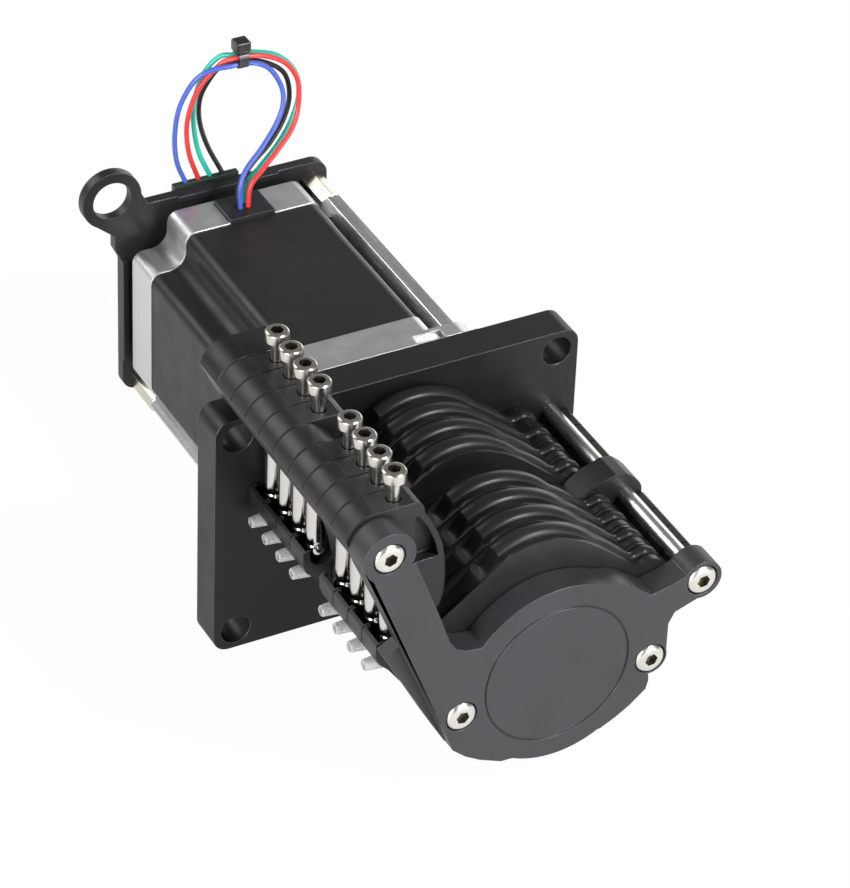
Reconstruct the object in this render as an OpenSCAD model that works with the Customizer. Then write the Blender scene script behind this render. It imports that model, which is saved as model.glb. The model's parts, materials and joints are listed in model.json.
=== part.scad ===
// Multichannel peristaltic pump: eight levers clamp eight tube tracks over one rotor,
// which a square stepping motor behind the mounting plate turns.
// The origin is the centre of the four plate holes, on the plate's front face.

/* [Mounting plate] */
// Width of the mounting plate
plate_width = 96; // [94:0.5:100]
// Height of the mounting plate
plate_height = 67.3; // [66:0.5:70]
// Thickness of the mounting plate
plate_thickness = 9.4; // [8.5:0.1:11]
// Plate hole spacing across
hole_spacing_x = 84.4; // [83:0.2:86]
// Plate hole spacing up and down
hole_spacing_z = 56.5; // [55.5:0.1:57]
// Plate hole diameter
plate_hole_diameter = 7.7; // [6.6:0.1:8]
// Depth of the motor collar behind the plate
collar_depth = 11.8; // [10:0.1:14]

/* [Head] */
// Space along the rotor for each channel
channel_pitch = 7.2; // [7.1:0.1:7.6]
// Gap between neighbouring levers and tracks
part_gap = 0.35; // [0.3:0.05:0.5]
// Thickness of the middle support with its gap
middle_thickness = 8; // [7:0.1:9]
// Thickness of the front cover with its gap
cover_thickness = 7.4; // [7.2:0.1:8]
// Radius of the round part of the front cover
disc_radius = 24.5; // [24.2:0.1:24.8]
// Diameter of the hook rod
hook_rod_diameter = 4; // [3.6:0.1:4.2]
// Diameter of the lever shaft
lever_shaft_diameter = 6; // [5:0.1:6.2]
// Diameter of the two lower tie rods
tie_rod_diameter = 5; // [4.6:0.1:5.2]
// Radial running clearance of the turning parts
running_clearance = 0.05; // [0.03:0.01:0.09]

/* [Levers] */
// Radius of the lever hub
hub_radius = 7.4; // [7:0.1:7.6]
// Distance from the lever shaft to the plunger axis
plunger_offset = 6.1; // [6:0.1:6.3]
// Diameter of the plunger shank
plunger_diameter = 4.8; // [4.2:0.1:4.9]
// Diameter of the ball at the plunger end
ball_diameter = 5.3; // [4.8:0.1:5.4]
// Distance of the ball centre below the lever shaft
ball_drop = 31.5; // [31.3:0.1:31.7]
// Lever bore clearance round the plunger, each side
plunger_clearance = 0.1; // [0.05:0.01:0.12]
// Adjuster screw head diameter
screw_head_diameter = 5.7; // [5.2:0.1:6]
// Adjuster screw head height
screw_head_height = 3; // [2.6:0.1:3.4]
// Adjuster screw shank diameter
screw_diameter = 3; // [2.6:0.1:3]
// Top of the adjuster screw above the lever shaft
screw_top = 15.5; // [14:0.1:16.5]

/* [Tracks and rotor] */
// Radius of the track's inner arc
track_inner_radius = 22.5; // [22.4:0.1:22.8]
// Roller diameter
roller_diameter = 10; // [9:0.1:10]
// Radius of the circle of roller centres
roller_orbit = 15.5; // [15:0.1:15.5]
// Diameter of the roller journals
roller_journal = 4; // [3:0.1:5]
// Thickness of the roller carrier's end discs
carrier_disc = 2; // [1.6:0.1:2]
// Radius of the roller carrier's end discs
carrier_radius = 19; // [18.5:0.1:19.4]
// Motor shaft diameter
motor_shaft_diameter = 6.35; // [6:0.05:6.5]
// Outer diameter of a connection nozzle
nozzle_diameter = 3.6; // [3.2:0.1:3.8]

/* [Motor] */
// Half width of the motor
motor_half = 28.2; // [28:0.05:28.4]
// Length of the stator stack
stator_length = 55.2; // [50:0.2:60]
// Length of the rear cap
rear_cap_length = 11; // [9:0.1:13]
// Thickness of the square flange
flange_thickness = 4.7; // [4:0.1:5]
// Length of the cap body behind the flange
cap_body_length = 6.3; // [5:0.1:8]
// Half spacing of the motor's corner holes
motor_hole_half = 23.57; // [23.4:0.01:23.7]
// Depth of the corner notches
notch_depth = 9.5; // [9:0.1:10]
// Hexagon size of the standoffs across flats
standoff_flats = 6; // [5.5:0.1:6.2]
// Length of the short standoffs
short_standoff = 12; // [10:0.5:14]
// Thickness of the rear bracket
bracket_thickness = 2.8; // [2.4:0.1:3.2]
// Hole in the bracket eye
eye_hole_diameter = 10.3; // [9:0.1:11]
// Lead diameter
lead_diameter = 1.3; // [1.2:0.05:1.4]

/* [Hidden] */
$fn = 48;
e = 0.01;
rotor_x = 4;
rotor_z = -3.85;
pivot_x = -44.5;
pivot_z = 47.5;
rod_x = 37.3;
rod_z = 14.7;
tie_right_x = 24.8;
tie_left_x = -24.5;
tie_z = -4.2;
stack_y = -4 * channel_pitch;
middle_y = stack_y - middle_thickness;
cover_y = middle_y - 4 * channel_pitch;
front_y = cover_y - cover_thickness;
part_width = channel_pitch - part_gap;
plunger_x = pivot_x + plunger_offset;
ball_x = plunger_x;
ball_z = pivot_z - ball_drop;
ball_reach = sqrt(pow(plunger_offset, 2) + pow(ball_drop, 2)) + ball_diameter / 2;
carrier_gap = 0.5;
recess_radius = 19.8;
bearing_outer = 16;
bearing_length = 2.6;
journal_diameter = 10.9;
motor_front = plate_thickness + collar_depth;
stator_front = motor_front + flange_thickness + cap_body_length;
cap_front = stator_front + stator_length;
cap_rear = cap_front + rear_cap_length;
flange_rear = motor_front + flange_thickness;
bracket_y = 102.3;

// Y of the middle of channel k, counted from the mounting plate
function channel_y(k) = -part_gap / 2 - (k - 0.5) * channel_pitch - (k > 4 ? middle_thickness : 0);

// A profile in X and Z from the rotor axis, between two Y values
module slab(y0, y1) {
  translate([rotor_x, y1, rotor_z])
    rotate([90, 0, 0])
      linear_extrude(y1 - y0)
        children();
}

// A cylinder along Y at X and Z from the rotor axis
module pin(x, z, y0, y1, r) {
  translate([rotor_x + x, y1, rotor_z + z])
    rotate([90, 0, 0])
      cylinder(r = r, h = y1 - y0);
}

// The hub's outline, flatter at its lower left
module hub_outline() {
  difference() {
    circle(r = hub_radius);
    rotate(206)
      translate([hub_radius - 1.6, -10])
        square([10, 20]);
  }
}

// The lever's outline round its shaft, which the plate and supports repeat
module lever_outline() {
  hub_outline();
  difference() {
    union() {
      polygon([[0, hub_radius - 0.1], [0, -7.2], [9.2, -7.2], [9.2, -22.6], [10.6, -24.2],
        [16.4, -24.2], [17, -23.5], [17.9, -20], [18.1, -15.8], [17.9, -11.5], [17.2, -6.8],
        [15.8, -2.7], [14.1, 0.6], [12.2, 4], [10.2, 4.3], [9.9, hub_radius - 0.1]]);
      translate([9.3, 4.3])
        circle(r = 3);
    }
    translate([9.2, hub_radius - 0.1])
      square([10, 4]);
  }
}

// The short part of that outline on the mounting plate
module ear_outline() {
  hub_outline();
  polygon([[0, hub_radius - 0.1], [0, -9], [17.6, -15], [17.9, -11.5], [17.2, -6.8],
    [15.8, -2.7], [14.1, 0.6], [12.2, 4], [9.9, hub_radius - 0.1]]);
}

module mounting_plate() {
  edge = 4;
  hw = plate_width / 2;
  hh = plate_height / 2;
  color([0.05, 0.05, 0.055])
    difference() {
      union() {
        translate([-hw, 0, -hh + edge])
          cube([plate_width, plate_thickness, plate_height - 2 * edge]);
        translate([-hw + edge, 0, -hh])
          cube([plate_width - 2 * edge, plate_thickness, plate_height]);
        for (sx = [-1, 1])
          for (sz = [-1, 1])
            translate([sx * (hw - edge), plate_thickness, sz * (hh - edge)])
              rotate([90, 0, 0])
                cylinder(r = edge, h = plate_thickness);
        slab(0, plate_thickness)
          translate([pivot_x, pivot_z])
            ear_outline();
        translate([rotor_x - 28.2, plate_thickness - e, rotor_z - 28.2])
          cube([56.4, collar_depth + e, 56.4]);
      }
      for (sx = [-1, 1])
        for (sz = [-1, 1])
          translate([sx * hole_spacing_x / 2, plate_thickness + 1, sz * hole_spacing_z / 2])
            rotate([90, 0, 0])
              cylinder(d = plate_hole_diameter, h = plate_thickness + 2);
      pin(0, 0, -e, 3.2, recess_radius);
      pin(0, 0, 3, 3.2 + bearing_length, bearing_outer / 2);
      pin(0, 0, 3, plate_thickness + 1, 6.5);
      pin(0, 0, plate_thickness - 1, motor_front + e, 19.2);
      for (s = [-1, 1])
        pin(s * motor_hole_half, s * motor_hole_half, motor_front - 9, motor_front + 1, 2);
      pin(pivot_x, pivot_z, -e, 7, lever_shaft_diameter / 2);
      pin(rod_x, rod_z, -e, 7, hook_rod_diameter / 2);
      pin(tie_right_x, tie_z, -e, 7, tie_rod_diameter / 2);
      pin(tie_left_x, tie_z, -e, 7, tie_rod_diameter / 2);
    }
}

// Support arms with room for the rotor, tracks and levers
module support_outline() {
  difference() {
    union() {
      translate([pivot_x, pivot_z])
        hub_outline();
      polygon([[-47.4, 41.6], [-37.4, 45.5], [-35.2, 37], [-31, 26], [-28, 16.9], [-19, 20],
        [-12, 23.4], [0, 25], [12, 23.4], [20, 18.4], [24, 16.4], [29, 19.6], [34.4, 21.3],
        [37.5, 20.7], [39.7, 18.8], [41.2, 16], [41, 12], [37, 9.9], [31, 7.6], [28.6, 4.7],
        [28.6, -4], [24, -8.4], [-24, -8.4], [-29.3, -6],
        [-35.4, 12], [-37.2, 21], [-40, 31], [-43.4, 37.6]]);
      translate([rod_x, rod_z])
        circle(r = 4.5);
      translate([tie_right_x, tie_z])
        circle(r = 4.1);
      translate([tie_left_x, tie_z])
        circle(r = 4.8);
      circle(r = disc_radius - 1.5);
    }
    circle(r = 21);
  }
}

module middle_support() {
  y0 = middle_y;
  y1 = stack_y - part_gap;
  color([0.05, 0.05, 0.055])
    difference() {
      union() {
        slab(y0, y1)
          support_outline();
        // The rail inside the track ends that holds the nozzles
        difference() {
          slab(cover_y - part_gap, 0)
            polygon([[-35.6, 12], [-35.6, 6.2], [-34.4, 5], [-29, 5], [-29, 12]]);
          for (k = [1:8])
            translate([rotor_x - 50, channel_y(k), rotor_z + 9.7])
              rotate([0, 90, 0])
                cylinder(d = nozzle_diameter, h = 30);
        }
      }
      pin(pivot_x, pivot_z, y0 - e, y1 + e, lever_shaft_diameter / 2);
      pin(rod_x, rod_z, y0 - e, y1 + e, hook_rod_diameter / 2);
      pin(tie_right_x, tie_z, y0 - e, y1 + e, tie_rod_diameter / 2);
      pin(tie_left_x, tie_z, y0 - e, y1 + e, tie_rod_diameter / 2);
      pin(0, 0, y0 - 40, y1 + 40, 21);
    }
}

module cover_outline() {
  circle(r = disc_radius - 0.5);
  intersection() {
    circle(r = disc_radius);
    translate([-30, -8])
      square([60, 40]);
  }
  polygon([[-49.6, 41.6], [-44.1, 30.3], [-29.3, -6], [-26.4, -13.6], [-23, -16.6],
    [-19.3, -18.9], [-13.6, -21.4], [0, -22], [12.6, -20.8], [16.4, -18.9], [20, -16.6],
    [24.2, -13], [24.8, -10.6], [24.6, -8.4], [29, -5], [29, 4.7], [30.5, 7.6], [37.3, 10],
    [40.5, 11.7], [41, 16.5], [33.6, 17.6], [28.6, 15.8], [24.4, 15.2], [18.5, 18.3],
    [-20, 14.2], [-24, 14.8], [-26.6, 16], [-28.4, 18.6], [-31, 26], [-32.4, 29.9], [-35.2, 37],
    [-38, 44.3]]);
  translate([pivot_x, pivot_z])
    circle(r = hub_radius - 0.9);
  translate([rod_x, rod_z])
    circle(r = 5.1);
  translate([tie_right_x, tie_z])
    circle(r = 4.4);
  translate([tie_left_x, tie_z])
    circle(r = 5.1);
}

module front_cover() {
  color([0.05, 0.05, 0.055])
    difference() {
      union() {
        slab(front_y, cover_y - part_gap)
          cover_outline();
        // Flange behind the arm's left edge
        slab(front_y + 3.4, cover_y - part_gap)
          polygon([[-43.4, 17], [-42.1, 14.6], [-37.5, 6.3], [-32, -4], [-26.8, -13.2],
            [-20, -14], [-28, 10], [-38, 20]]);
      }
      // Shallow ring step round the bare centre
      difference() {
        pin(0, 0, front_y - e, front_y + 0.5, 18.9);
        pin(0, 0, front_y - 1, front_y + 1, 18.2);
      }
      pin(0, 0, cover_y - part_gap - 2.8, cover_y, recess_radius);
      pin(0, 0, cover_y - part_gap - 2.8 - bearing_length, cover_y, bearing_outer / 2);
      for (c = [[pivot_x, pivot_z, lever_shaft_diameter], [rod_x, rod_z, hook_rod_diameter],
        [tie_right_x, tie_z, tie_rod_diameter], [tie_left_x, tie_z, tie_rod_diameter]]) {
        pin(c[0], c[1], front_y + 3.6, cover_y, c[2] / 2);
        pin(c[0], c[1], front_y - e, front_y + 1.4, 4.05);
        pin(c[0], c[1], front_y, front_y + 4, 1.6);
      }
    }
}

module head_rod(x, z, d) {
  difference() {
    pin(x, z, front_y + 3.6, 7, d / 2);
    pin(x, z, front_y + 3, front_y + 9, 1.5);
  }
}

module lever_shaft() {
  color([0.75, 0.75, 0.76])
    head_rod(pivot_x, pivot_z, lever_shaft_diameter);
}

module hook_rod() {
  color([0.78, 0.78, 0.79])
    head_rod(rod_x, rod_z, hook_rod_diameter);
}

module tie_rods() {
  color([0.7, 0.7, 0.71]) {
    head_rod(tie_right_x, tie_z, tie_rod_diameter);
    head_rod(tie_left_x, tie_z, tie_rod_diameter);
  }
}

// One pan head screw with its head from y0 forward, shank toward +Y
module pan_screw(x, z, y0) {
  difference() {
    union() {
      pin(x, z, y0 - 1.4, y0, 3.8);
      pin(x, z, y0 - 2, y0 - 1.3, 3.2);
      pin(x, z, y0 - e, y0 + 6, 1.45);
    }
    translate([rotor_x + x, y0 - 0.8, rotor_z + z])
      rotate([90, 0, 0])
        cylinder(d = 2.9, h = 2, $fn = 6);
  }
}

module pan_head_screws() {
  color([0.8, 0.8, 0.8]) {
    pan_screw(pivot_x, pivot_z, front_y + 1.4);
    pan_screw(rod_x, rod_z, front_y + 1.4);
    pan_screw(tie_right_x, tie_z, front_y + 1.4);
    pan_screw(tie_left_x, tie_z, front_y + 1.4);
    for (s = [-1, 1])
      translate([2 * rotor_x, 2 * (bracket_y + bracket_thickness), 0])
        rotate([0, 0, 180])
          pan_screw(-s * motor_hole_half, s * motor_hole_half, bracket_y + bracket_thickness);
  }
}

module bush(y0) {
  difference() {
    pin(0, 0, y0, y0 + bearing_length, bearing_outer / 2);
    pin(0, 0, y0 - e, y0 + bearing_length + e, journal_diameter / 2 + running_clearance);
  }
}

module rotor_bearings() {
  color([0.65, 0.55, 0.3]) {
    bush(3.2);
    bush(cover_y - part_gap - 2.8 - bearing_length);
  }
}

module tube(k) {
  y = channel_y(k);
  z = 9.7;
  // Flattened over the rollers
  difference() {
    slab(y - 2.6, y + 2.6)
      difference() {
        circle(r = track_inner_radius - 0.35);
        circle(r = roller_orbit + roller_diameter / 2 + 0.3);
        translate([-40, -40])
          square([80, 40 + z - 1.3]);
      }
  }
  // Straight run to the nozzle
  translate([rotor_x - 33, y, rotor_z + z])
    rotate([0, 90, 0])
      cylinder(r = 1.3, h = 13.6);
  translate([rotor_x + 19.4, y, rotor_z + z])
    rotate([0, 90, 0])
      cylinder(r = 1.3, h = 7.1);
}

module tubes() {
  color([0.85, 0.84, 0.78])
    for (k = [1:8])
      tube(k);
}

module nozzles() {
  color([0.85, 0.87, 0.87])
    for (k = [1:8])
      translate([rotor_x, channel_y(k), rotor_z + 9.7])
        difference() {
          union() {
            translate([-44.5, 0, 0])
              rotate([0, 90, 0])
                cylinder(d1 = nozzle_diameter - 0.9, d2 = nozzle_diameter, h = 4.1);
            translate([-40.5, 0, 0])
              rotate([0, 90, 0])
                cylinder(d = nozzle_diameter, h = 7.5);
          }
          translate([-45, 0, 0])
            rotate([0, 90, 0])
              cylinder(r = 0.8, h = 20);
        }
}

// Square motor section with stepped, rounded corner notches
module motor_section(half, notch) {
  inner = half - notch;
  step = 3;
  square([2 * inner, 2 * half - 2 * step], center = true);
  square([2 * half - 2 * step, 2 * inner], center = true);
  square([2 * inner - 2 * step, 2 * half], center = true);
  square([2 * half, 2 * inner - 2 * step], center = true);
  for (sx = [-1, 1])
    for (sz = [-1, 1]) {
      translate([sx * (inner - step), sz * (half - step)])
        circle(r = step);
      translate([sx * (half - step), sz * (inner - step)])
        circle(r = step);
      difference() {
        translate([sx * (inner + 1.9), sz * (inner + 1.9)])
          square([4.2, 4.2], center = true);
        translate([sx * (inner + 4.5), sz * (inner + 4.5)])
          circle(r = 4.5);
      }
    }
}

module rounded_square(half, r) {
  square([2 * half, 2 * (half - r)], center = true);
  square([2 * (half - r), 2 * half], center = true);
  for (sx = [-1, 1])
    for (sz = [-1, 1])
      translate([sx * (half - r), sz * (half - r)])
        circle(r = r);
}

module motor_front_cap() {
  color([0.68, 0.69, 0.7])
    difference() {
      union() {
        slab(motor_front, flange_rear)
          rounded_square(motor_half, 4.6);
        slab(flange_rear - e, stator_front)
          motor_section(motor_half, notch_depth);
        pin(0, 0, motor_front - 1.6, motor_front + e, 19.05);
      }
      pin(0, 0, motor_front - 3, stator_front + 1, 6);
      for (sx = [-1, 1])
        for (sz = [-1, 1])
          pin(sx * motor_hole_half, sz * motor_hole_half, motor_front - 1, flange_rear + 1, 2.3);
      translate([rotor_x + 12.2, motor_front - 1, rotor_z + motor_half - 1.4])
        cube([7.4, 4.3, 3]);
    }
}

module motor_stator() {
  color([0.07, 0.07, 0.07])
    difference() {
      slab(stator_front, cap_front)
        motor_section(motor_half - 0.25, notch_depth);
      pin(0, 0, stator_front - 1, cap_front + 1, 14);
    }
}

module motor_rear_cap() {
  color([0.68, 0.69, 0.7])
    difference() {
      slab(cap_front, cap_rear)
        motor_section(motor_half, notch_depth);
      pin(0, 0, cap_front - 1, cap_rear - 3, 6);
      translate([rotor_x - 6.3, cap_front - 1, rotor_z + 22])
        cube([12.4, 11.1, 10]);
    }
}

module lead_grommet() {
  color([0.06, 0.06, 0.06])
    difference() {
      translate([rotor_x - 6.2, cap_front, rotor_z + 22.1])
        cube([12.2, 10, 7]);
      for (p = [[-1.6, 91.4], [0.4, 91.4], [-1.6, 93.6], [0.4, 93.6]])
        translate([rotor_x + p[0], p[1], rotor_z + 25])
          cylinder(d = lead_diameter, h = 8);
    }
}

// A round lead through the given points, with a flat eight-sided section
module lead(path) {
  n = len(path);
  r = lead_diameter / 2;
  rings = [for (i = [0:n - 1])
    let (a = path[max(i - 1, 0)], b = path[min(i + 1, n - 1)], d = b - a,
      t = d / norm(d), c = cross(t, [0, 1, 0]), u = c / norm(c), v = cross(u, t))
    for (j = [0:7]) path[i] + r * (cos(45 * j) * u + sin(45 * j) * v)];
  sides = [for (i = [0:n - 2]) for (j = [0:7])
    [8 * i + j, 8 * i + (j + 1) % 8, 8 * i + 8 + (j + 1) % 8, 8 * i + 8 + j]];
  ends = [[for (j = [7:-1:0]) j], [for (j = [0:7]) 8 * (n - 1) + j]];
  polyhedron(points = rings, faces = concat(sides, ends));
}

module blue_lead() {
  color([0.05, 0.2, 0.6])
    lead([[2.4, 91.4, 24.2], [2.4, 91.8, 30.6], [4.4, 93, 34.9], [9.4, 94.4, 39.3], [14, 96, 44],
      [16.4, 97, 48.4], [16.6, 98, 53.1], [14, 98.8, 58.4], [10.4, 99, 61.2], [6.2, 99, 62.3],
      [3, 99, 62.3], [-1.6, 100, 61.8], [-5.2, 101, 59.8], [-7.8, 102, 55.5],
      [-9.6, 103, 49.6], [-9.9, 104.2, 41.1], [-8.6, 105.4, 33.2], [-6.1, 106, 26.8]]);
}

module red_lead() {
  color([0.6, 0.05, 0.04])
    lead([[4.4, 91.4, 24.2], [5.2, 91.8, 30.6], [8.8, 92.4, 34.3], [13.2, 93.2, 38.3],
      [17.8, 94.6, 42.6], [20.2, 96, 47.5], [20.5, 97, 54.8], [17.4, 98, 60.2],
      [11.6, 98.6, 63.4], [6.2, 99, 64.2], [4.4, 99.3, 64.1], [1.9, 100.8, 62.9], [0, 101.5, 60.9],
      [-3.2, 102.4, 57],
      [-5.6, 103.2, 51.3], [-6.6, 104.2, 43.8], [-5.3, 105.4, 35], [-2.5, 106, 26.8]]);
}

module green_lead() {
  color([0.04, 0.35, 0.12])
    lead([[4.4, 93.6, 24.2], [5.4, 94, 30.2], [9.6, 94.8, 34], [14.8, 96, 38.4],
      [19.2, 97.8, 43], [21.8, 99, 49.4], [21, 100, 56], [16, 100.8, 61.4],
      [7.8, 100.8, 64.2], [4.4, 100.9, 64.2], [1.6, 102.8, 63.3], [-1.6, 104, 59.4], [-3.4, 104.9, 54],
      [-4.1, 105.6, 48.1], [-3.6, 106, 40.8], [-2, 106.4, 33.6], [0.8, 106.2, 26.8]]);
}

module black_lead() {
  color([0.03, 0.03, 0.03])
    lead([[2.4, 93.6, 24.2], [3.2, 94, 30.4], [7.4, 95.4, 34.8], [12.4, 96.4, 38.6],
      [17, 98, 43.4], [19.4, 99.4, 49.1], [18.6, 100.4, 55.2], [14.4, 100.8, 59.2],
      [7.8, 100.8, 62.2], [4.4, 100.9, 62.3], [2.2, 103.2, 60.2], [0, 105.4, 55.4], [-1.8, 106.6, 50],
      [-1.6, 107.4, 43], [0.6, 107.4, 35], [4.2, 106.2, 26.8]]);
}

module cable_tie() {
  color([0.04, 0.04, 0.04])
    difference() {
      union() {
        translate([4.6, 97.4, 60.6])
          cube([3, 5, 5.4]);
        translate([4.1, 98, 66])
          cube([4, 3.8, 2.6]);
      }
      translate([4, 98.2, 61.4])
        cube([5, 3.4, 3.8]);
    }
}

module rear_bracket() {
  y1 = bracket_y + bracket_thickness;
  rim = 0.8;
  color([0.05, 0.05, 0.055])
    difference() {
      union() {
        slab(bracket_y, y1)
          union() {
            translate([-29.3, -22])
              square([57.3, 47.5]);
            translate([-25.3, -26])
              square([49.3, 55.5]);
            translate([-25.3, 25.5])
              circle(r = 4);
            translate([24, 25.5])
              circle(r = 4);
            translate([-25.3, -22])
              circle(r = 4);
            translate([24, -22])
              circle(r = 4);
            translate([-31.8, 32.8])
              circle(r = 8);
            polygon([[-29.3, 14], [-31.2, 18], [-31.2, 22], [-36, 26], [-26, 37], [-22, 29.5],
              [-10, 29.5], [-10, 14]]);
          }
        difference() {
          slab(bracket_y - rim, bracket_y + e)
            union() {
              translate([-29.3, -22])
                square([57.3, 47.5]);
              translate([-25.3, -26])
                square([49.3, 55.5]);
            }
          slab(bracket_y - 2, bracket_y)
            union() {
              translate([-27.7, -24.4])
                square([54, 52.2]);
              translate([-30, 14])
                square([16, 20]);
              translate([14, 16])
                square([20, 20]);
              translate([-30, -30])
                square([16, 14]);
              translate([10, -30])
                square([20, 12]);
            }
        }
      }
      pin(-31.8, 32.8, bracket_y - 2, y1 + 1, eye_hole_diameter / 2);
      for (s = [-1, 1])
        pin(s * motor_hole_half, s * motor_hole_half, bracket_y - 2, y1 + 1, 1.6);
    }
}

// A hexagonal bar along Y with a threaded hole
module hex_bar(x, z, y0, y1, turn) {
  difference() {
    translate([rotor_x + x, y1, rotor_z + z])
      rotate([90, turn, 0])
        cylinder(d = standoff_flats / cos(30), h = y1 - y0, $fn = 6);
    pin(x, z, y1 - 7, y1 + 1, 1.5);
  }
}

module standoffs() {
  split = bracket_y - short_standoff;
  color([0.72, 0.71, 0.69])
    for (s = [-1, 1]) {
      hex_bar(s * motor_hole_half, s * motor_hole_half, flange_rear, split, 2);
      hex_bar(s * motor_hole_half, s * motor_hole_half, split, bracket_y, 32);
      pin(s * motor_hole_half, s * motor_hole_half, motor_front - 8, flange_rear + e, 2);
    }
}

module terminal_board() {
  color([0.05, 0.16, 0.09])
    translate([rotor_x - 13.5, bracket_y + bracket_thickness, rotor_z + 10])
      cube([17.9, 1.8, 20.4]);
}

module motor_shaft() {
  color([0.7, 0.7, 0.7]) {
    pin(0, 0, -14, cap_rear - 4, motor_shaft_diameter / 2);
    pin(0, 0, stator_front + 3, cap_front - 3, 13.6);
  }
}

module roller_seats(y0, y1, r) {
  for (a = [45:90:315])
    pin(roller_orbit * cos(a), roller_orbit * sin(a), y0, y1, r);
}

module roller_carrier() {
  rear = carrier_gap + 0.2;
  front = cover_y - part_gap - 0.3;
  color([0.6, 0.6, 0.61])
    difference() {
      union() {
        pin(0, 0, front, rear, 6.5);
        pin(0, 0, rear, rear + carrier_disc, carrier_radius);
        pin(0, 0, front - carrier_disc, front, carrier_radius);
        pin(0, 0, rear, 7, journal_diameter / 2);
        pin(0, 0, front - carrier_disc - 2.6, front, journal_diameter / 2);
      }
      pin(0, 0, -14.4, 8, motor_shaft_diameter / 2);
      roller_seats(rear - e, rear + carrier_disc + e, roller_journal / 2 + running_clearance);
      roller_seats(front - carrier_disc - e, front + e, roller_journal / 2 + running_clearance);
    }
}

module roller(k) {
  a = 45 + 90 * (k - 1);
  rear = carrier_gap + 0.2;
  front = cover_y - part_gap - 0.3;
  x = roller_orbit * cos(a);
  z = roller_orbit * sin(a);
  color([0.8, 0.8, 0.81]) {
    pin(x, z, front + 0.8, rear - 1.2, roller_diameter / 2);
    pin(x, z, front - carrier_disc, rear + carrier_disc, roller_journal / 2);
  }
}

module lever(k) {
  y = channel_y(k);
  color([0.06, 0.06, 0.065])
    difference() {
      slab(y - part_width / 2, y + part_width / 2)
        translate([pivot_x, pivot_z])
          lever_outline();
      // Three-sided pocket in the front face
      slab(y - part_width / 2 - e, y - part_width / 2 + 3)
        translate([pivot_x, pivot_z])
          polygon([[10, 3.3], [11, 3], [13.2, -0.5], [15.1, -4.7], [16.2, -9], [15.5, -9.4],
            [10, -9.5]]);
      pin(pivot_x, pivot_z, y - 6, y + 6, lever_shaft_diameter / 2 + running_clearance);
      translate([rotor_x + plunger_x, y, rotor_z + pivot_z - 20])
        cylinder(r = plunger_diameter / 2 + plunger_clearance, h = 25.9);
      translate([rotor_x + plunger_x, y, rotor_z + pivot_z])
        cylinder(r = screw_diameter / 2 + 0.3, h = 10);
    }
}

module plunger(k) {
  x = rotor_x + plunger_x;
  z = rotor_z + pivot_z;
  color([0.85, 0.85, 0.86])
    difference() {
      union() {
        translate([x, channel_y(k), z - ball_drop + 2.6])
          cylinder(d = plunger_diameter, h = ball_drop + 1.8);
        translate([x, channel_y(k), z - ball_drop])
          cylinder(d = plunger_diameter - 0.5, h = 4);
        translate([x, channel_y(k), z - ball_drop])
          sphere(d = ball_diameter);
      }
      translate([x, channel_y(k), z - 4.4])
        cylinder(r = screw_diameter / 2 + running_clearance, h = 10);
      translate([x, channel_y(k), z - 8.6])
        difference() {
          cylinder(r = 4, h = 0.7);
          translate([0, 0, -1])
            cylinder(r = plunger_diameter / 2 - 0.4, h = 3);
        }
    }
}

module screw(k) {
  top = rotor_z + pivot_z + screw_top;
  color([0.75, 0.75, 0.74])
    translate([rotor_x + plunger_x, channel_y(k), 0])
      difference() {
        union() {
          translate([0, 0, top - screw_head_height])
            cylinder(d = screw_head_diameter, h = screw_head_height);
          translate([0, 0, top - 18.7])
            cylinder(d = screw_diameter, h = 17);
        }
        translate([0, 0, top - 1.6])
          cylinder(d = 2.9, h = 3, $fn = 6);
      }
}

// Side view of a track, from the rotor axis
module track_outline() {
  difference() {
    union() {
      polygon([[-43.2, 17.3], [-43.2, 14], [-42.4, 11.7], [-40, 9.4], [-38.4, 7.2], [-37, 5.2],
        [-35, 5], [20, 5], [24, 6], [36, 6.6], [41, 8.2], [42.6, 11], [42.4, 13.6],
        [41.6, 14.4], [37.3, 14.7], [35.2, 14.2], [34.4, 12.8], [32.6, 12.6], [31.8, 14],
        [31.2, 15.8], [30.4, 17.4], [29.2, 18.4], [27.8, 18.9], [26.6, 18.8], [25.6, 18.2],
        [24.4, 17.8], [23.2, 18.2], [21.8, 19.6], [20, 21.2], [14.7, 25.8],
        [9.7, 29.5], [5, 31.8], [2, 32.9], [-1, 33.3], [-4, 33.3], [-6.5, 32.8],
        [-9.4, 31.8], [-12, 30.3], [-15.9, 27.3], [-26.2, 19.7], [-33, 14.8],
        [-35.4, 17.3], [-41.9, 17.9]]);
    }
    circle(r = track_inner_radius);
    // Room for the tube rail
    translate([-36, 0])
      square([8.1, 12.4]);
    translate([rod_x, rod_z])
      circle(r = hook_rod_diameter / 2 + running_clearance);
    translate([ball_x, ball_z])
      circle(r = ball_diameter / 2 + 0.35);
    translate([ball_x - ball_diameter / 2 - 0.35, ball_z])
      square([ball_diameter + 0.7, 10]);
  }
}

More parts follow.
